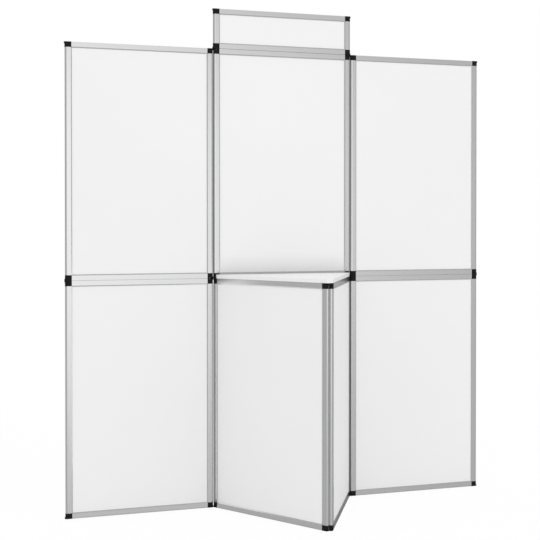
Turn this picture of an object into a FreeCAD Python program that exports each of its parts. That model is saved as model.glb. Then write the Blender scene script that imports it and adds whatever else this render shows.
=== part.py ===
import FreeCAD, Part
import os
import Sketcher
from FreeCAD import Rotation, Vector

# Folding display wall: framed panels in two rows, a header, and a V-shaped counter in front of the middle.
# Millimetres, +Z up. X runs along the wall, the counter points to -Y, and the origin is on the floor
# under the middle of the wall's plan.

os.makedirs("parts", exist_ok=True)
doc = FreeCAD.newDocument("display_wall")

sizes = doc.addObject("Spreadsheet::Sheet", "Sizes")
driving_sizes = {
    "pitch": 594,  # middle of one hinge gap to the next
    "row_height": 920,
    "header_height": 160,
    "thick": 16,  # frame thickness, and twice the radius of its round edge
    "hinge_gap": 1,  # between the edges of two panels in line
    "stile_face": 26.5,
    "rail_face": 23,
    "rail_inset": 0.5,  # rail edge behind the ends of the corner caps
    "lip_bevel": 3.5,  # sloped inner lip of the frame
    "lip_edge": 0.8,
    "frame_wall": 1.3,
    "groove_depth": 3,  # how far the board's groove goes in behind the lip
    "board_thick": 10,
    "board_fit": 0.3,
    "corner_fit": 0.5,  # between a board's cut corner and the cap
    "tongue_length": 25,
    "tongue_fit": 0.25,
    "cheek": 1.6,  # cap wall above and below a hinge plate
    "cap_cover": 1.75,  # how far a cap goes over the slope of the lip
    "cap_setback": 0.4,  # cap below its ear behind the stile's edge at a hinge
    "ear_fit": 0.2,  # ear short of the middle of the hinge gap
    "free_nose": 0.8,  # cap beyond the panel's edge where no panel follows
    "free_ear": 2.9,  # ear beyond the panel's edge where no panel follows
    "link_thick": 3,
    "link_fit": 0.1,
    "link_half_width": 4.5,
    "slot_room": 3,  # slot beyond the plate, so that a plate can lean when a wing swings forward
    "pin_radius": 2,
    "pin_fit": 0.05,
    "mouth_fit": 0.25,  # each side of a pin in the open mouth of a hook plate
    "pin_recess": 0.5,
    "pin_depth": 12.5,
    "counter_inset": 9,  # counter pins inside the middle of the wall's hinge gaps
    "counter_drop": 3,  # counter pins in front of the wall's middle plane
    "top_thick": 15,
    "top_wall_gap": 1,
    "top_corner_cut": 10,
    "top_tip_radius": 6,
    "band_thick": 1,
    "peg_radius": 3,
    "peg_fit": 0.1,
    "peg_length": 10,
}
for row, (alias, number) in enumerate(driving_sizes.items(), start=1):
    sizes.set(f"A{row}", alias)
    sizes.set(f"B{row}", str(number))
    sizes.setAlias(f"B{row}", alias)
doc.recompute()

# Sizes that follow from the driving ones, as expressions
EDGE_RADIUS = "(Sizes.thick / 2)"
PANEL_WIDTH = "(Sizes.pitch - Sizes.hinge_gap)"
LINK_LENGTH = "(Sizes.thick + Sizes.hinge_gap)"
RIGHT_PIN = f"({PANEL_WIDTH} - {EDGE_RADIUS})"
PIN_SPAN = f"({PANEL_WIDTH} - Sizes.thick)"
CAP_WIDTH = "(Sizes.stile_face - Sizes.lip_bevel + Sizes.cap_cover)"
CAP_HEIGHT = "(Sizes.rail_face - Sizes.lip_bevel + Sizes.cap_cover)"
STILE_GROOVE = "(Sizes.stile_face - Sizes.lip_bevel - Sizes.groove_depth)"
RAIL_GROOVE = "(Sizes.rail_face - Sizes.lip_bevel - Sizes.groove_depth)"
GROOVE_HALF = "(Sizes.board_thick / 2 + Sizes.board_fit)"
CHAMBER_HALF = "(Sizes.thick / 2 - Sizes.frame_wall)"
EAR_REACH = "(Sizes.hinge_gap / 2 - Sizes.ear_fit)"
SLOT_HEIGHT = "(Sizes.link_thick + 2 * Sizes.link_fit)"
EAR_HEIGHT = f"(2 * Sizes.cheek + {SLOT_HEIGHT})"
LINK_BASE = "(Sizes.cheek + Sizes.link_fit)"
PIN_HOLE = "(Sizes.pin_radius + Sizes.pin_fit)"

UPWARDS = Vector(0, 0, 1)
DOWNWARDS = Vector(0, 0, -1)

# Two points closer than this are one point
SAME_PLACE = 1e-6

# Each counter panel runs from a pin beside a wing to a pin at the front, and the sine and the cosine of
# its turn follow from that
COUNTER_PIN_X = "(Sizes.pitch / 2 - Sizes.counter_inset)"
COSINE = f"(({COUNTER_PIN_X} - {LINK_LENGTH} / 2) / {PIN_SPAN})"
SINE = f"sqrt(1 - {COSINE} ^ 2)"
COUNTER_TURN = f"acos({COSINE})"
APEX_REACH = f"(Sizes.counter_drop + {PIN_SPAN} * {SINE})"
# The wall's middle plane stands behind the origin by half of the counter's reach
WALL_Y = f"(({APEX_REACH} + {EAR_REACH} * {SINE}) / 2)"
APEX_Y = f"({WALL_Y} - {APEX_REACH})"
COUNTER_PIN_Y = f"({WALL_Y} - Sizes.counter_drop)"
# A hook plate runs from a counter pin to a wing's pin, and its mouth faces the way the pin leaves
HOOK_X = f"(Sizes.counter_inset + {LINK_LENGTH} / 2)"
HOOK_LENGTH = f"sqrt({HOOK_X} ^ 2 + Sizes.counter_drop ^ 2)"
HOOK_TURN = f"atan(Sizes.counter_drop / {HOOK_X})"
MOUTH_TURN = f"(atan({APEX_REACH} / ((Sizes.pitch + {LINK_LENGTH}) / 2)) - {HOOK_TURN})"


def value(expression):
    return float(sizes.evalExpression(expression))


def bind(obj, **expressions):
    for prop, expression in expressions.items():
        obj.setExpression(prop.replace("__", "."), expression)
    return obj


def place(obj, x="0", y="0", z="0", axis=None, angle="0"):
    if axis:
        obj.Placement = FreeCAD.Placement(Vector(), Rotation(axis, value(angle)))
        bind(obj, Placement__Rotation__Angle=angle)
    return bind(obj, Placement__Base__x=x, Placement__Base__y=y, Placement__Base__z=z)


def box(name, x, y, z, length, width, height, axis=None, angle="0"):
    obj = doc.addObject("Part::Box", name)
    bind(obj, Length=length, Width=width, Height=height)
    return place(obj, x, y, z, axis, angle)


def cylinder(name, x, y, z, radius, height):
    obj = doc.addObject("Part::Cylinder", name)
    bind(obj, Radius=radius, Height=height)
    return place(obj, x, y, z)


def fuse(name, shapes):
    obj = doc.addObject("Part::MultiFuse", name)
    obj.Shapes = shapes
    obj.Refine = True
    return obj


def cut(name, base, tools):
    obj = doc.addObject("Part::Cut", name)
    obj.Base = base
    obj.Tool = tools[0] if len(tools) == 1 else fuse(name + "_tools", tools)
    return obj


def mirror(name, source, normal, **base):
    obj = doc.addObject("Part::Mirroring", name)
    obj.Source = source
    obj.Normal = normal
    return bind(obj, **base)


def mirror_across(name, source):
    return mirror(name, source, Vector(1, 0, 0), Base__x=f"{PANEL_WIDTH} / 2")


def mirror_upwards(name, source, height):
    return mirror(name, source, Vector(0, 0, 1), Base__z=f"{height} / 2")


# A closed outline in a body's origin plane. Each corner is a pair of expressions, and arcs gives the
# centre of the round side that starts at a corner.
def outline(body, plane_role, corners, arcs):
    sketch = body.newObject("Sketcher::SketchObject", body.Name + "_outline")
    plane = next(item for item in body.Origin.OriginFeatures if item.Role == plane_role)
    sketch.AttachmentSupport = [(plane, "")]
    sketch.MapMode = "FlatFace"
    add_loop(sketch, corners, arcs)
    return sketch


def add_loop(sketch, corners, arcs):
    first = sketch.GeometryCount
    points = [Vector(value(x), value(y), 0) for x, y in corners]
    count = len(points)
    for index, start in enumerate(points):
        end = points[(index + 1) % count]
        if index in arcs:
            centre = Vector(value(arcs[index][0]), value(arcs[index][1]), 0)
            middle = centre + ((start - centre).cross(Vector(0, 0, -1)))
            sketch.addGeometry(Part.Arc(start, middle, end))
        else:
            sketch.addGeometry(Part.LineSegment(start, end))
    for index in range(count):
        sketch.addConstraint(
            Sketcher.Constraint("Coincident", first + index, 2, first + (index + 1) % count, 1)
        )
    for index, (x, y) in enumerate(corners):
        pin_point(sketch, "DistanceX", first + index, 1, x)
        pin_point(sketch, "DistanceY", first + index, 1, y)
    for index, centre in arcs.items():
        pin_point(sketch, "DistanceX", first + index, 3, centre[0])


def pin_point(sketch, kind, element, point, expression):
    if expression == "0":
        axis = -2 if kind == "DistanceX" else -1
        sketch.addConstraint(Sketcher.Constraint("PointOnObject", element, point, axis))
        return
    number = sketch.addConstraint(Sketcher.Constraint(kind, -1, 1, element, point, value(expression)))
    sketch.setExpression(f"Constraints[{number}]", expression)


def pad(name, plane_role, loops, length):
    body = doc.addObject("PartDesign::Body", name)
    corners, arcs = loops[0]
    sketch = outline(body, plane_role, corners, arcs)
    for corners, arcs in loops[1:]:
        add_loop(sketch, corners, arcs)
    feature = body.newObject("PartDesign::Pad", name + "_pad")
    feature.Profile = sketch
    bind(feature, Length=length)
    sketch.Visibility = False
    return body


# The frame's section from its lip inwards, for an extrusion whose outer edge starts at corner zero
def lip_corners(face, groove):
    slope = f"(Sizes.{face} - Sizes.lip_bevel)"
    tip = f"({GROOVE_HALF} + Sizes.lip_edge)"
    half = "Sizes.thick / 2"
    edge = f"Sizes.{face}"
    return [
        (slope, f"-{half}"),
        (edge, f"-{tip}"),
        (edge, f"-{GROOVE_HALF}"),
        (groove, f"-{GROOVE_HALF}"),
        (groove, GROOVE_HALF),
        (edge, GROOVE_HALF),
        (edge, tip),
        (slope, half),
    ]


def stile_master(kind, height):
    radius = EDGE_RADIUS
    outer = [(radius, f"-{radius}")] + lip_corners("stile_face", STILE_GROOVE) + [(radius, radius)]
    inner_end = f"({STILE_GROOVE} - Sizes.frame_wall)"
    chamber = [
        (radius, f"-{CHAMBER_HALF}"),
        (inner_end, f"-{CHAMBER_HALF}"),
        (inner_end, CHAMBER_HALF),
        (radius, CHAMBER_HALF),
    ]
    round_edge = (radius, "0")
    loops = [(outer, {len(outer) - 1: round_edge}), (chamber, {3: round_edge})]
    body = pad(f"{kind}_stile_bar", "XY_Plane", loops, f"{height} - 2 * {CAP_HEIGHT}")
    place(body, z=CAP_HEIGHT)
    mitres = [
        mitre(f"{kind}_stile_mitre_{end}", CAP_WIDTH, z, Vector(0, 1, 0))
        for end, z in (("low", CAP_HEIGHT), ("high", f"{height} - {CAP_HEIGHT}"))
    ]
    return cut(f"{kind}_stile", body, mitres)


def rail_master(kind):
    half = "Sizes.thick / 2"
    # The rail's section has its outer edge below and its lip above, so each pair is (across, up)
    lip = [(across, up) for up, across in lip_corners("rail_face", RAIL_GROOVE)]
    outer = [(half, "Sizes.rail_inset")] + lip[::-1] + [(f"-{half}", "Sizes.rail_inset")]
    low = "(Sizes.rail_inset + Sizes.frame_wall)"
    high = f"({RAIL_GROOVE} - Sizes.frame_wall)"
    chamber = [
        (CHAMBER_HALF, low),
        (CHAMBER_HALF, high),
        (f"-{CHAMBER_HALF}", high),
        (f"-{CHAMBER_HALF}", low),
    ]
    body = pad(
        f"{kind}_rail_bar", "YZ_Plane", [(outer, {}), (chamber, {})], f"{PANEL_WIDTH} - 2 * {CAP_WIDTH}"
    )
    place(body, x=CAP_WIDTH)
    mitres = [
        mitre(f"{kind}_rail_mitre_{end}", x, CAP_HEIGHT, Vector(0, -1, 0))
        for end, x in (("near", CAP_WIDTH), ("far", f"{PANEL_WIDTH} - {CAP_WIDTH}"))
    ]
    return cut(f"{kind}_rail", body, mitres)


# A block turned 45 degrees, whose corner clears the other bar's lip
def mitre(name, x, z, axis):
    side = "3 * Sizes.lip_bevel"
    return box(name, x, "-Sizes.thick", z, side, "2 * Sizes.thick", side, axis, "45")


# A cap with a slot for a hinge plate, or one for a free edge, which reaches further out
def corner_cap(kind, nose_reach, ear_reach, slotted):
    radius = EDGE_RADIUS
    side = "-Sizes.thick / 2"
    nose = f"({radius} - {nose_reach})"
    ear_nose = f"({radius} - {ear_reach})"
    ear_length = f"{nose} - {ear_nose}"
    hole_depth = "(Sizes.pin_depth + Sizes.pin_recess)"
    chamber_end = f"({STILE_GROOVE} - Sizes.frame_wall - Sizes.tongue_fit)"
    tongue_half = f"({CHAMBER_HALF} - Sizes.tongue_fit)"
    tongue_low = "(Sizes.rail_inset + Sizes.frame_wall + Sizes.tongue_fit)"
    tongue_high = f"({RAIL_GROOVE} - Sizes.frame_wall - Sizes.tongue_fit)"
    solid = fuse(
        f"{kind}_cap_blank",
        [
            box(f"{kind}_cap_block", nose, side, "0", f"{CAP_WIDTH} - {nose}", "Sizes.thick", CAP_HEIGHT),
            cylinder(f"{kind}_cap_nose", nose, "0", "0", radius, CAP_HEIGHT),
            box(f"{kind}_cap_ear", ear_nose, side, "0", ear_length, "Sizes.thick", EAR_HEIGHT),
            cylinder(f"{kind}_cap_ear_nose", ear_nose, "0", "0", radius, EAR_HEIGHT),
            box(
                f"{kind}_cap_stile_tongue",
                radius,
                f"-{tongue_half}",
                CAP_HEIGHT,
                f"{chamber_end} - {radius}",
                f"2 * {tongue_half}",
                "Sizes.tongue_length",
            ),
            box(
                f"{kind}_cap_rail_tongue",
                CAP_WIDTH,
                f"-{tongue_half}",
                tongue_low,
                "Sizes.tongue_length",
                f"2 * {tongue_half}",
                f"{tongue_high} - {tongue_low}",
            ),
        ],
    )
    tools = [cylinder(f"{kind}_cap_hole", radius, "0", "0", PIN_HOLE, hole_depth)]
    if slotted:
        slot_length = f"Sizes.hinge_gap + {radius} + Sizes.link_half_width + Sizes.slot_room"
        tools.append(
            box(
                f"{kind}_cap_slot",
                "-Sizes.hinge_gap",
                "-Sizes.thick",
                "Sizes.cheek",
                slot_length,
                "2 * Sizes.thick",
                SLOT_HEIGHT,
            )
        )
    return cut(f"{kind}_cap", solid, tools)


def board_master(kind, height):
    edge_x = f"({STILE_GROOVE} + Sizes.board_fit)"
    edge_z = f"({RAIL_GROOVE} + Sizes.board_fit)"
    cut_off = f"({CAP_WIDTH} - {edge_x} + {CAP_HEIGHT} - {edge_z} + Sizes.corner_fit)"
    right = f"({PANEL_WIDTH} - {edge_x})"
    top = f"({height} - {edge_z})"
    corners = [
        (f"{edge_x} + {cut_off}", edge_z),
        (f"{right} - {cut_off}", edge_z),
        (right, f"{edge_z} + {cut_off}"),
        (right, f"{top} - {cut_off}"),
        (f"{right} - {cut_off}", top),
        (f"{edge_x} + {cut_off}", top),
        (edge_x, f"{top} - {cut_off}"),
        (edge_x, f"{edge_z} + {cut_off}"),
    ]
    body = pad(f"{kind}_sheet", "XZ_Plane", [(corners, {})], "Sizes.board_thick")
    return place(body, y="Sizes.board_thick / 2")


# The pieces of one panel in its own frame: left edge at x = 0, middle plane at y = 0, foot at z = 0
def panel_masters(kind, height):
    stile = stile_master(kind, height)
    rail = rail_master(kind)
    return {
        "board": [board_master(kind, height)],
        "stiles": [stile, mirror_across(f"{kind}_stile_across", stile)],
        "rails": [rail, mirror_upwards(f"{kind}_rail_above", rail, height)],
    }


# The four caps of one panel, from the cap of its left edge and the cap of its right edge
def cap_set(panel, height, left_cap, right_cap):
    low = [left_cap, mirror_across(f"{panel}_cap_across", right_cap)]
    high = [mirror_upwards(f"{panel}_cap_above_{side}", cap, height) for side, cap in enumerate(low)]
    return low + high


# Hinge plate between two pins on its x axis, flat side down
def link_plate(name, start_x, end_x, z):
    half = "Sizes.link_half_width"
    thick = "Sizes.link_thick"
    ends = {"start": start_x, "end": end_x}
    blank = [box(f"{name}_bar", start_x, f"-{half}", z, f"{end_x} - ({start_x})", f"2 * {half}", thick)]
    blank += [cylinder(f"{name}_{end}", x, "0", z, half, thick) for end, x in ends.items()]
    holes = [cylinder(f"{name}_{end}_hole", x, "0", z, PIN_HOLE, thick) for end, x in ends.items()]
    return cut(name, fuse(f"{name}_blank", blank), holes)


# Hook plate from a counter pin at x = 0 to a wing's pin, open on its outer side at the wing's pin
def hook_plate(name, z):
    half_mouth = "(Sizes.pin_radius + Sizes.mouth_fit)"
    depth = "(2 * Sizes.link_half_width)"
    mouth = box(
        f"{name}_mouth",
        f"{HOOK_LENGTH} - {half_mouth} * cos({MOUTH_TURN}) + {depth} * sin({MOUTH_TURN})",
        f"-{half_mouth} * sin({MOUTH_TURN}) - {depth} * cos({MOUTH_TURN})",
        z,
        f"2 * {half_mouth}",
        depth,
        "Sizes.link_thick",
        UPWARDS,
        MOUTH_TURN,
    )
    return cut(name, link_plate(f"{name}_closed", "0", HOOK_LENGTH, z), [mouth])


def hinge_pin(name, x, height=None, long=False):
    length = "Sizes.pin_depth - Sizes.pin_recess"
    if height is None:
        return cylinder(name, x, "0", "Sizes.pin_recess", "Sizes.pin_radius", length)
    low = f"{height} - Sizes.pin_depth"
    return cylinder(name, x, "0", low, "Sizes.pin_radius", "2 * Sizes.pin_depth" if long else length)


nodes = []


# A named sub-part: its pieces, stood where its panel stands
def node(name, pieces, stand):
    obj = doc.addObject("Part::Compound", name)
    obj.Label = name
    obj.Links = pieces
    place(obj, **stand)
    nodes.append((obj, len(pieces)))


def stand_at(x, y=WALL_Y, z="0", axis=None, angle="0"):
    return {"x": x, "y": y, "z": z, "axis": axis, "angle": angle}


LEFT_X = "-1.5 * Sizes.pitch + Sizes.hinge_gap / 2"
CENTER_X = "-0.5 * Sizes.pitch + Sizes.hinge_gap / 2"
RIGHT_X = "0.5 * Sizes.pitch + Sizes.hinge_gap / 2"
UPPER_Z = "Sizes.row_height"

stands = {
    "left_lower": stand_at(LEFT_X),
    "left_upper": stand_at(LEFT_X, z=UPPER_Z),
    "center_upper": stand_at(CENTER_X, z=UPPER_Z),
    "right_lower": stand_at(RIGHT_X),
    "right_upper": stand_at(RIGHT_X, z=UPPER_Z),
    "counter_left": stand_at(
        f"-{COUNTER_PIN_X} - {EDGE_RADIUS} * {COSINE}",
        f"{COUNTER_PIN_Y} + {EDGE_RADIUS} * {SINE}",
        axis=DOWNWARDS,
        angle=COUNTER_TURN,
    ),
    "counter_right": stand_at(
        f"{LINK_LENGTH} / 2 - {EDGE_RADIUS} * {COSINE}",
        f"{APEX_Y} - {EDGE_RADIUS} * {SINE}",
        axis=UPWARDS,
        angle=COUNTER_TURN,
    ),
    "header": stand_at(CENTER_X, z=f"2 * {UPPER_Z}"),
}

# Framed panels
hinge_cap = corner_cap("hinge", "-Sizes.cap_setback", EAR_REACH, slotted=True)
free_cap = corner_cap("free", "Sizes.free_nose", "Sizes.free_ear", slotted=False)
panel_pieces = panel_masters("panel", "Sizes.row_height")
header_pieces = panel_masters("header", "Sizes.header_height")
for panel, stand in stands.items():
    is_header = panel == "header"
    pieces = dict(header_pieces if is_header else panel_pieces)
    pieces["corner_caps"] = cap_set(
        panel,
        "Sizes.header_height" if is_header else "Sizes.row_height",
        free_cap if is_header or panel.startswith("left") else hinge_cap,
        free_cap if is_header or panel.startswith("right") else hinge_cap,
    )
    if panel == "counter_left":
        # Two holes in the top rail take the counter top's pegs
        peg_x = [f"{PANEL_WIDTH} / 4", f"{PANEL_WIDTH} * 3 / 4"]
        peg_hole = "(Sizes.peg_radius + Sizes.peg_fit)"
        hole_z = "Sizes.row_height - 2 * Sizes.frame_wall - Sizes.rail_inset"
        holes = [
            cylinder(f"peg_hole_{number}", x, "0", hole_z, peg_hole, "3 * Sizes.frame_wall")
            for number, x in enumerate(peg_x)
        ]
        low_rail, high_rail = pieces["rails"]
        pieces["rails"] = [low_rail, cut("peg_rail", high_rail, holes)]
    for piece, shapes in pieces.items():
        node(f"{panel}_{piece}", shapes, stand)

# Hinge plates
LEFT_PIN = EDGE_RADIUS
HIGH_LINK = f"Sizes.row_height - {LINK_BASE} - Sizes.link_thick"
levels = {"low": LINK_BASE, "high": HIGH_LINK}
before_left = f"{LEFT_PIN} - {LINK_LENGTH}"
after_right = f"{RIGHT_PIN} + {LINK_LENGTH}"
center_links = []
for level, z in levels.items():
    center_links.append(link_plate(f"center_left_link_{level}", before_left, LEFT_PIN, z))
    center_links.append(link_plate(f"center_right_link_{level}", RIGHT_PIN, after_right, z))
node("center_hinge_plates", center_links, stands["center_upper"])
right_hooks = [hook_plate(f"right_hook_{level}", z) for level, z in levels.items()]
left_hooks = [
    mirror(f"left_hook_{number}", hook, Vector(1, 0, 0)) for number, hook in enumerate(right_hooks)
]
hook_stand = stand_at(COUNTER_PIN_X, COUNTER_PIN_Y, axis=UPWARDS, angle=HOOK_TURN)
node("counter_right_hook_plates", right_hooks, hook_stand)
hook_stand = stand_at(f"-{COUNTER_PIN_X}", COUNTER_PIN_Y, axis=DOWNWARDS, angle=HOOK_TURN)
node("counter_left_hook_plates", left_hooks, hook_stand)
apex_links = [link_plate(f"apex_link_{level}", "0", LINK_LENGTH, z) for level, z in levels.items()]
node("apex_hinge_plates", apex_links, stand_at(f"-{LINK_LENGTH} / 2", APEX_Y))

# Hinge pins. The long ones at the top of a panel also carry the panel above it.
PANEL_TOP = "Sizes.row_height"
sides = {"left": (LEFT_PIN, RIGHT_PIN), "right": (RIGHT_PIN, LEFT_PIN)}
for side, (outer_x, hinge_x) in sides.items():
    row_pins = [
        hinge_pin(f"{side}_outer_row_pin", outer_x, PANEL_TOP, long=True),
        hinge_pin(f"{side}_inner_row_pin", hinge_x, PANEL_TOP, long=True),
    ]
    low_pin = hinge_pin(f"{side}_low_pin", hinge_x)
    high_pin = hinge_pin(f"{side}_high_pin", hinge_x, PANEL_TOP)
    node(f"{side}_row_pins", row_pins, stands[f"{side}_lower"])
    node(f"{side}_lower_hinge_pin", [low_pin], stands[f"{side}_lower"])
    node(f"{side}_upper_hinge_pin", [high_pin], stands[f"{side}_upper"])
pin_ends = {"left": LEFT_PIN, "right": RIGHT_PIN}
node(
    "header_pins",
    [hinge_pin(f"header_pin_{end}", x, PANEL_TOP, long=True) for end, x in pin_ends.items()],
    stands["center_upper"],
)
node(
    "center_hinge_pins",
    [hinge_pin(f"center_pin_{end}", x) for end, x in pin_ends.items()],
    stands["center_upper"],
)
for panel in ("counter_left", "counter_right"):
    pins = [hinge_pin(f"{panel}_pin_{end}_low", x) for end, x in pin_ends.items()]
    pins += [hinge_pin(f"{panel}_pin_{end}_high", x, PANEL_TOP) for end, x in pin_ends.items()]
    node(f"{panel}_hinge_pins", pins, stands[panel])


# Counter top: a triangle over the V, with its back corners and its tip cut off
def top_outline(inset):
    slope = f"({SINE} / {COSINE})"
    side_x = f"({COUNTER_PIN_X} + ({EDGE_RADIUS} - {inset}) * {SINE})"
    side_y = f"(-Sizes.counter_drop - ({EDGE_RADIUS} - {inset}) * {COSINE})"
    corner_x = f"(Sizes.pitch / 2 - Sizes.top_corner_cut - {inset})"
    corner_y = f"({side_y} + ({corner_x} - {side_x}) * {slope})"
    back_y = f"(-{EDGE_RADIUS} - Sizes.top_wall_gap - {inset})"
    tip_y = f"(-{APEX_REACH} - {EDGE_RADIUS} + {inset})"
    tip_x = f"({side_x} + ({tip_y} - {side_y}) / {slope})"
    return [
        (corner_x, back_y),
        (f"-{corner_x}", back_y),
        (f"-{corner_x}", corner_y),
        (f"-{tip_x}", tip_y),
        (tip_x, tip_y),
        (corner_x, corner_y),
    ]


# A counter-top blank with its two upright front edges rounded
def top_blank(name, inset, radius):
    body = pad(name, "XY_Plane", [(top_outline(inset), {})], "Sizes.top_thick")
    doc.recompute()
    pad_feature = body.Tip
    front = min(vertex.Point.y for vertex in pad_feature.Shape.Vertexes)
    edges = [
        f"Edge{number}"
        for number, edge in enumerate(pad_feature.Shape.Edges, start=1)
        if all(abs(vertex.Point.y - front) < SAME_PLACE for vertex in edge.Vertexes)
        and abs(edge.Vertexes[0].Point.z - edge.Vertexes[1].Point.z) > SAME_PLACE
    ]
    fillet = body.newObject("PartDesign::Fillet", body.Name + "_tip")
    fillet.Base = (pad_feature, edges)
    bind(fillet, Radius=radius)
    return body


top_stand = stand_at("0", z=UPPER_Z)
top_whole = top_blank("top_whole", "0", "Sizes.top_tip_radius")
top_core = top_blank("top_core", "Sizes.band_thick", "Sizes.top_tip_radius - Sizes.band_thick")
node("tabletop_board", [top_core], top_stand)
node("tabletop_edge_band", [cut("top_band", top_whole, [top_core])], top_stand)
peg_low = "Sizes.row_height - Sizes.peg_length"
pegs = [
    cylinder(f"peg_{number}", x, "0", peg_low, "Sizes.peg_radius", "Sizes.peg_length")
    for number, x in enumerate(peg_x)
]
node("tabletop_pegs", pegs, stands["counter_left"])

doc.recompute()

# Every object and every sub-part is sound before anything is written
for obj in doc.Objects:
    if "Invalid" in obj.State or "Error" in obj.State:
        raise RuntimeError(f"{obj.Name} failed: {obj.State}")
for obj, solids in nodes:
    shape = obj.Shape
    if shape.isNull() or not shape.isValid() or len(shape.Solids) != solids:
        raise RuntimeError(f"{obj.Label} is not {solids} sound solids")
for obj, solids in nodes:
    obj.Shape.exportStep(f"parts/{obj.Label}.step")
whole = FreeCAD.BoundBox()
for obj, solids in nodes:
    whole.add(obj.Shape.BoundBox)
print(f"{len(nodes)} sub-parts, {whole.XLength:.1f} x {whole.YLength:.1f} x {whole.ZLength:.1f} mm")
print(f"low corner {whole.XMin:.2f} {whole.YMin:.2f} {whole.ZMin:.2f}")
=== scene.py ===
import math

import bpy
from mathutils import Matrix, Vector


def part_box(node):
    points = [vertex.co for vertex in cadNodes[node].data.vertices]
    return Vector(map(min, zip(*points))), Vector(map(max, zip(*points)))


# Folding display wall with a V-shaped counter, dressed on its CAD frame. Metres, +Z up, counter to -Y.

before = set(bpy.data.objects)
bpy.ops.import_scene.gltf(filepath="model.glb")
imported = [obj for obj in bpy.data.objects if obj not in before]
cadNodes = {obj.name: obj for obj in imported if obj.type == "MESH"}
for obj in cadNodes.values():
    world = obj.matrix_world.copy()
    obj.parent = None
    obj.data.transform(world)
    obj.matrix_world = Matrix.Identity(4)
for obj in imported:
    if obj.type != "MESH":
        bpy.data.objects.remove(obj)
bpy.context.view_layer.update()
print("frame loaded:", len(cadNodes), "nodes")


# Shader helpers: an input takes a plain value or another node's output

def setInputs(tree, node, inputs):
    for name, value in inputs.items():
        if isinstance(value, bpy.types.NodeSocket):
            tree.links.new(value, node.inputs[name])
        else:
            node.inputs[name].default_value = value


def addNode(tree, kind, inputs=None, **settings):
    node = tree.nodes.new(kind)
    for name, value in settings.items():
        setattr(node, name, value)
    setInputs(tree, node, inputs or {})
    return node


def calculate(tree, operation, first, second):
    return addNode(tree, "ShaderNodeMath", {0: first, 1: second}, operation=operation).outputs["Value"]


def lengthOf(tree, vector):
    return addNode(tree, "ShaderNodeVectorMath", {0: vector}, operation="LENGTH").outputs["Value"]


def scaleColour(tree, colour, factor):
    node = addNode(tree, "ShaderNodeVectorMath", {0: colour, "Scale": factor}, operation="SCALE")
    return node.outputs["Vector"]


def mapRange(tree, inputs, **settings):
    return addNode(tree, "ShaderNodeMapRange", inputs, **settings).outputs["Result"]


def mixShaders(tree, share, first, second):
    return addNode(tree, "ShaderNodeMixShader", {"Fac": share, 1: first, 2: second}).outputs["Shader"]


def shaderGroup(name, inputs, outputs):
    tree = bpy.data.node_groups.new(name, "ShaderNodeTree")
    for label, (kind, default) in inputs.items():
        socket = tree.interface.new_socket(name=label, in_out="INPUT", socket_type=kind)
        socket.default_value = default
    for label, kind in outputs.items():
        tree.interface.new_socket(name=label, in_out="OUTPUT", socket_type=kind)
    given = tree.nodes.new("NodeGroupInput").outputs
    return tree, given, tree.nodes.new("NodeGroupOutput")


# Surface grain of moulded, rolled and drawn pieces: Stretch is how many grains there are to a metre
grainLook = {
    "fineDetail": 3.0,
    "fineRoughness": 0.6,
    "cloudScale": 2.2,  # large faint clouds to a metre
    "cloudDetail": 3.0,
    "cloudTones": (0.985, 1.015),
}


def makeGrainGroup():
    tree, given, result = shaderGroup(
        "surfaceGrain",
        {
            "Stretch": ("NodeSocketVector", (1000.0, 1000.0, 1000.0)),
            "Colour": ("NodeSocketColor", (0.8, 0.8, 0.8, 1.0)),
            "Contrast": ("NodeSocketFloat", 0.05),
            "Roughness": ("NodeSocketFloat", 0.5),
            "Roughness Spread": ("NodeSocketFloat", 0.05),
        },
        {"Colour": "NodeSocketColor", "Roughness": "NodeSocketFloat", "Height": "NodeSocketFloat"},
    )
    place = addNode(tree, "ShaderNodeTexCoord").outputs["Object"]
    stretched = addNode(tree, "ShaderNodeVectorMath", {0: place, 1: given["Stretch"]}, operation="MULTIPLY")
    fineInputs = {
        "Vector": stretched.outputs["Vector"],
        "Scale": 1.0,
        "Detail": grainLook["fineDetail"],
        "Roughness": grainLook["fineRoughness"],
    }
    fine = addNode(tree, "ShaderNodeTexNoise", fineInputs).outputs["Fac"]
    cloudInputs = {"Vector": place, "Scale": grainLook["cloudScale"], "Detail": grainLook["cloudDetail"]}
    cloud = addNode(tree, "ShaderNodeTexNoise", cloudInputs).outputs["Fac"]

    # Grain and cloud both tone the colour
    darkest = calculate(tree, "SUBTRACT", 1.0, given["Contrast"])
    lightest = calculate(tree, "ADD", 1.0, given["Contrast"])
    fineTone = mapRange(tree, {"Value": fine, "To Min": darkest, "To Max": lightest})
    cloudLow, cloudHigh = grainLook["cloudTones"]
    cloudTone = mapRange(tree, {"Value": cloud, "To Min": cloudLow, "To Max": cloudHigh})
    toned = scaleColour(tree, scaleColour(tree, given["Colour"], fineTone), cloudTone)

    # Their average spreads the roughness
    smoothest = calculate(tree, "SUBTRACT", given["Roughness"], given["Roughness Spread"])
    roughest = calculate(tree, "ADD", given["Roughness"], given["Roughness Spread"])
    average = calculate(tree, "MULTIPLY", calculate(tree, "ADD", fine, cloud), 0.5)
    roughness = mapRange(tree, {"Value": average, "To Min": smoothest, "To Max": roughest})
    setInputs(tree, result, {"Colour": toned, "Roughness": roughness, "Height": fine})
    return tree


# Painted shade between pieces that stand close, laid into the colour: one in the open, Darkest deep in a
# gap.
# Reach is how far away a piece still shades. Closed and Open are shares of open air: full shade, and none.
gapSamples = 8


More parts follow.
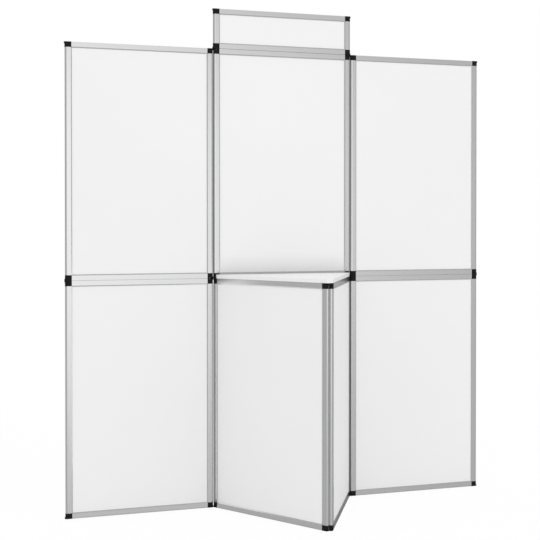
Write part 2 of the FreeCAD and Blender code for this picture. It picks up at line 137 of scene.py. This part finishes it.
def makeGapGroup():
    tree, given, result = shaderGroup(
        "gapShade",
        {
            "Reach": ("NodeSocketFloat", 0.02),
            "Closed": ("NodeSocketFloat", 0.25),
            "Open": ("NodeSocketFloat", 1.0),
            "Darkest": ("NodeSocketFloat", 0.1),
        },
        {"Shade": "NodeSocketFloat"},
    )
    near = addNode(tree, "ShaderNodeAmbientOcclusion", {"Distance": given["Reach"]}, samples=gapSamples)
    shadeInputs = {
        "Value": near.outputs["AO"],
        "From Min": given["Closed"],
        "From Max": given["Open"],
        "To Min": given["Darkest"],
    }
    setInputs(tree, result, {"Shade": mapRange(tree, shadeInputs)})
    return tree


grainGroup = makeGrainGroup()
gapGroup = makeGapGroup()


def makeFinish(name, look):
    material = bpy.data.materials.new(name)
    material.use_nodes = True
    tree = material.node_tree
    shader = tree.nodes["Principled BSDF"]
    grainInputs = {
        "Stretch": look["stretch"],
        "Colour": (*look["colour"], 1.0),
        "Contrast": look["contrast"],
        "Roughness": look["roughness"],
        "Roughness Spread": look["spread"],
    }
    grain = addNode(tree, "ShaderNodeGroup", grainInputs, node_tree=grainGroup).outputs
    bumpInputs = {"Height": grain["Height"], "Strength": look["relief"], "Distance": look["depth"]}
    bump = addNode(tree, "ShaderNodeBump", bumpInputs)
    edgeTone = look.get("edgeTone", 1.0)
    evenInputs = {
        "Metallic": look.get("metallic", 0.0),
        "Specular IOR Level": look.get("specular", 0.5),
        "Specular Tint": (edgeTone, edgeTone, edgeTone, 1.0),
    }
    variedInputs = {
        "Base Color": grain["Colour"],
        "Roughness": grain["Roughness"],
        "Normal": bump.outputs["Normal"],
    }
    # Painted gap shade darkens the base colour, and for metal also Metallic
    if "gap" in look:
        shade = addNode(tree, "ShaderNodeGroup", look["gap"], node_tree=gapGroup).outputs["Shade"]
        variedInputs["Base Color"] = scaleColour(tree, grain["Colour"], shade)
        if "metallic" in look:
            variedInputs["Metallic"] = shade  # or dark metal would still shine at a slant
    setInputs(tree, shader, evenInputs)
    setInputs(tree, shader, variedInputs)
    material.diffuse_color = (*look["colour"], 1.0)
    return material


# Finishes: softEdge is the width of the rounding on a piece's edges, for the pieces that get one

whiteBoard = {
    "slot": "white_board", "softEdge": 0.0006,
    "colour": (0.86, 0.86, 0.86), "stretch": (700, 700, 700), "contrast": 0.012,
    "roughness": 0.6, "spread": 0.06, "relief": 0.08, "depth": 0.0002, "specular": 0.35,
}

# Anodised frame bars, drawn lengthwise
aluminium = {
    "slot": "aluminium_frame",
    "colour": (0.92, 0.922, 0.925), "contrast": 0.07, "roughness": 0.22, "spread": 0.05,
    "relief": 0.05, "depth": 0.0001, "metallic": 1.0, "edgeTone": 0.45, "specular": 0.0,
}
alongUpright = (1500, 1500, 5)
alongLevel = (5, 5, 1500)
# Painted shade in the narrow gaps where frame bars meet
uprightGapShade = {"Reach": 0.025, "Closed": 0.3, "Open": 1.0, "Darkest": 0.1}
levelGapShade = {"Reach": 0.008, "Closed": 0.25, "Open": 0.9, "Darkest": 0.1}
# Painted shade on the centre panel, darker toward the counter top in front of it
levelShadeOverTop = {"Reach": 0.05, "Closed": 0.25, "Open": 0.9, "Darkest": 0.1}
boardShadedOverTop = {"Reach": 0.085, "Closed": 0.0, "Open": 1.0, "Darkest": 0.56}

finishes = {
    "boardWhite": whiteBoard,
    "boardShadedOverTop": {**whiteBoard, "gap": boardShadedOverTop},
    "aluminiumUpright": {**aluminium, "stretch": alongUpright, "gap": uprightGapShade},
    # The counter's stiles get the frame metal without painted gap shade
    "aluminiumCounter": {**aluminium, "stretch": alongUpright},
    "aluminiumLevel": {**aluminium, "stretch": alongLevel, "gap": levelGapShade},
    "aluminiumShadedOverTop": {**aluminium, "stretch": alongLevel, "gap": levelShadeOverTop},
    "capBlack": {
        "slot": "black_plastic", "softEdge": 0.0006,
        "colour": (0.008, 0.008, 0.0085), "stretch": (1800, 1800, 1800), "contrast": 0.25,
        "roughness": 0.5, "spread": 0.1, "relief": 0.25, "depth": 0.0002, "specular": 0.2,
    },
    "pinSteel": {
        "slot": "steel_pin",
        "colour": (0.55, 0.55, 0.56), "stretch": (2500, 2500, 60), "contrast": 0.1,
        "roughness": 0.3, "spread": 0.08, "relief": 0.08, "depth": 0.0001, "metallic": 1.0,
    },
    "counterLaminate": {
        "slot": "counter_laminate", "softEdge": 0.0003,
        "colour": (0.94, 0.94, 0.94), "stretch": (900, 900, 900), "contrast": 0.01,
        "roughness": 0.42, "spread": 0.06, "relief": 0.1, "depth": 0.0002, "specular": 0.45,
    },
    "bandWhite": {
        "slot": "edge_band", "softEdge": 0.0004,
        "colour": (0.84, 0.84, 0.84), "stretch": (400, 400, 60), "contrast": 0.015,
        "roughness": 0.38, "spread": 0.05, "relief": 0.05, "depth": 0.0001, "specular": 0.45,
    },
}
materials = {name: makeFinish(name, look) for name, look in finishes.items()}
print("finishes made:", len(materials))


# CAD pieces: finish and softened edges

edgeRounding = {
    "seamWidth": 0.00001,  # corners closer than this are welded first
    "segments": 2,
    "sharpAngle": 40,  # degrees between faces from which an edge is rounded
}


def finishOf(node):
    if node == "tabletop_board":
        return "counterLaminate"
    if node == "tabletop_edge_band":
        return "bandWhite"
    if node.endswith("_board"):
        return "boardShadedOverTop" if node == "center_upper_board" else "boardWhite"
    if node.endswith("_stiles"):
        return "aluminiumCounter" if node.startswith("counter_") else "aluminiumUpright"
    if node.endswith("_rails"):
        return "aluminiumShadedOverTop" if node == "center_upper_rails" else "aluminiumLevel"
    if "_pin" in node:
        return "pinSteel"
    return "capBlack"  # caps, plates and pegs


def softenEdges(piece, width):
    weld = piece.modifiers.new("closeSeams", "WELD")
    weld.merge_threshold = edgeRounding["seamWidth"]
    bevel = piece.modifiers.new("softEdges", "BEVEL")
    bevel.width = width
    bevel.segments = edgeRounding["segments"]
    bevel.limit_method = "ANGLE"
    bevel.angle_limit = math.radians(edgeRounding["sharpAngle"])
    bevel.harden_normals = True


for name, piece in cadNodes.items():
    finishName = finishOf(name)
    look = finishes[finishName]
    piece.data.materials.clear()
    piece.data.materials.append(materials[finishName])
    if "softEdge" in look:
        softenEdges(piece, look["softEdge"])
print("CAD pieces dressed:", len(cadNodes))


# Studio: white surroundings, soft light, pale floor that fades out into the white

studio = {
    "white": (1.0, 1.0, 1.0, 1.0),
    "floorColour": (0.97, 0.97, 0.97, 1.0),
    "floorRoughness": 0.9,
    "floorNear": 1.0,  # metres from the middle to where the floor starts to fade
    "floorFar": 4.5,
    "floorWhite": 0.93,  # share of plain white in what the eye sees of the floor
    "ambient": 0.95,
    "frontAngles": (12, 33),  # the bright front, in degrees off straight ahead: full inside, gone outside
    "frontRise": 0.014,  # how far its middle stands above the horizon, as a slope
    "frontFlatness": 1.9,  # how much lower than wide it is
    "sideTone": 0.41,  # what metal shows of the studio's sides
    "keyPlace": (-0.3, -5.0, 4.6),
    "keyTarget": (0, 0, 1.0),
    "keySize": 4.0,
    "keyPower": 47.0,
}


def makeFloor():
    half = studio["floorFar"]
    corners = [(-half, -half, 0), (half, -half, 0), (half, half, 0), (-half, half, 0)]
    mesh = bpy.data.meshes.new("studioFloor")
    mesh.from_pydata(corners, [], [(0, 1, 2, 3)])
    floor = bpy.data.objects.new("studioFloor", mesh)
    bpy.context.scene.collection.objects.link(floor)
    material = bpy.data.materials.new("floorPale")
    material.use_nodes = True
    tree = material.node_tree
    shader = tree.nodes["Principled BSDF"]
    shaderInputs = {
        "Base Color": studio["floorColour"],
        "Roughness": studio["floorRoughness"],
        "Specular IOR Level": 0.0,
    }
    setInputs(tree, shader, shaderInputs)
    white = addNode(tree, "ShaderNodeEmission", {"Strength": 1.0}).outputs["Emission"]
    ray = addNode(tree, "ShaderNodeLightPath").outputs
    share = calculate(tree, "MULTIPLY", ray["Is Camera Ray"], studio["floorWhite"])
    whitened = mixShaders(tree, share, shader.outputs["BSDF"], white)

    # The floor fades out with its distance from the object
    distance = lengthOf(tree, addNode(tree, "ShaderNodeTexCoord").outputs["Object"])
    fadeInputs = {"Value": distance, "From Min": studio["floorNear"], "From Max": studio["floorFar"]}
    fade = mapRange(tree, fadeInputs, interpolation_type="SMOOTHSTEP")
    clear = addNode(tree, "ShaderNodeBsdfTransparent").outputs["BSDF"]
    faded = mixShaders(tree, fade, whitened, clear)
    setInputs(tree, tree.nodes["Material Output"], {"Surface": faded})
    mesh.materials.append(material)
    floor.visible_glossy = False


# White to the eye. Metal shows it white in front and greyer to the sides, and the rest gets even soft light.
def makeWorld():
    world = bpy.data.worlds.new("studioWhite")
    world.use_nodes = True
    tree = world.node_tree
    light = tree.nodes["Background"]
    setInputs(tree, light, {"Color": studio["white"], "Strength": studio["ambient"]})
    ray = addNode(tree, "ShaderNodeLightPath").outputs

    # How far a direction is off the middle of the bright front; what lies behind is outside it
    direction = addNode(tree, "ShaderNodeTexCoord").outputs["Generated"]
    flatness = studio["frontFlatness"]
    offInputs = {0: direction, 1: (1, 0, flatness), 2: (0, 0, -flatness * studio["frontRise"])}
    off = addNode(tree, "ShaderNodeVectorMath", offInputs, operation="MULTIPLY_ADD").outputs["Vector"]
    depth = addNode(tree, "ShaderNodeSeparateXYZ", {"Vector": direction}).outputs["Y"]
    behind = calculate(tree, "GREATER_THAN", depth, 0.0)
    offMiddle = calculate(tree, "MAXIMUM", lengthOf(tree, off), behind)
    inner, outer = (math.sin(math.radians(angle)) for angle in studio["frontAngles"])
    toneInputs = {
        "Value": offMiddle,
        "From Min": inner,
        "From Max": outer,
        "To Min": 1.0,
        "To Max": studio["sideTone"],
    }
    tone = mapRange(tree, toneInputs, interpolation_type="SMOOTHSTEP")
    shown = calculate(tree, "MAXIMUM", tone, ray["Is Camera Ray"])
    seen = addNode(tree, "ShaderNodeBackground", {"Color": studio["white"], "Strength": shown})

    inMetal = calculate(tree, "MAXIMUM", ray["Is Glossy Ray"], ray["Is Transmission Ray"])
    toEye = calculate(tree, "MAXIMUM", inMetal, ray["Is Camera Ray"])
    mixed = mixShaders(tree, toEye, light.outputs["Background"], seen.outputs["Background"])
    setInputs(tree, tree.nodes["World Output"], {"Surface": mixed})
    bpy.context.scene.world = world


def makeKeyLight():
    data = bpy.data.lights.new("keyLight", "AREA")
    data.shape = "SQUARE"
    data.size = studio["keySize"]
    data.energy = studio["keyPower"]
    lamp = bpy.data.objects.new("keyLight", data)
    place = Vector(studio["keyPlace"])
    lamp.location = place
    lamp.rotation_mode = "QUATERNION"
    lamp.rotation_quaternion = (Vector(studio["keyTarget"]) - place).to_track_quat("-Z", "Y")
    lamp.visible_glossy = False
    bpy.context.scene.collection.objects.link(lamp)


makeFloor()
makeWorld()
makeKeyLight()
bpy.context.scene.view_settings.view_transform = "Standard"
print("studio lit")


# Camera: where the photograph was taken from, measured from the wall's middle plane

photoCamera = {
    "photoPixels": 540,
    "focalPixels": 1226.9,
    "centrePixels": (278.4, 234.8),
    "fromWall": (-1.6961, -4.7255, 1.1546),
    "turn": 19.544,  # degrees to the right
    "tilt": -0.701,  # degrees up
    "sensorWidth": 36.0,  # millimetres
}


def makeCamera():
    data = bpy.data.cameras.new("photoCamera")
    camera = bpy.data.objects.new("photoCamera", data)
    bpy.context.scene.collection.objects.link(camera)
    lowest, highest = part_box("center_upper_board")
    wallY = (lowest.y + highest.y) / 2
    camera.location = Vector(photoCamera["fromWall"]) + Vector((0, wallY, 0))
    turn = math.radians(photoCamera["turn"])
    tilt = math.radians(photoCamera["tilt"])
    ahead = Vector((math.sin(turn) * math.cos(tilt), math.cos(turn) * math.cos(tilt), math.sin(tilt)))
    camera.rotation_mode = "QUATERNION"
    camera.rotation_quaternion = ahead.to_track_quat("-Z", "Y")
    pixels = photoCamera["photoPixels"]
    centreX, centreY = photoCamera["centrePixels"]
    data.sensor_width = photoCamera["sensorWidth"]
    data.lens = photoCamera["focalPixels"] * data.sensor_width / pixels
    data.shift_x = 0.5 - centreX / pixels
    data.shift_y = centreY / pixels - 0.5
    bpy.context.scene.camera = camera


makeCamera()
print("camera placed")
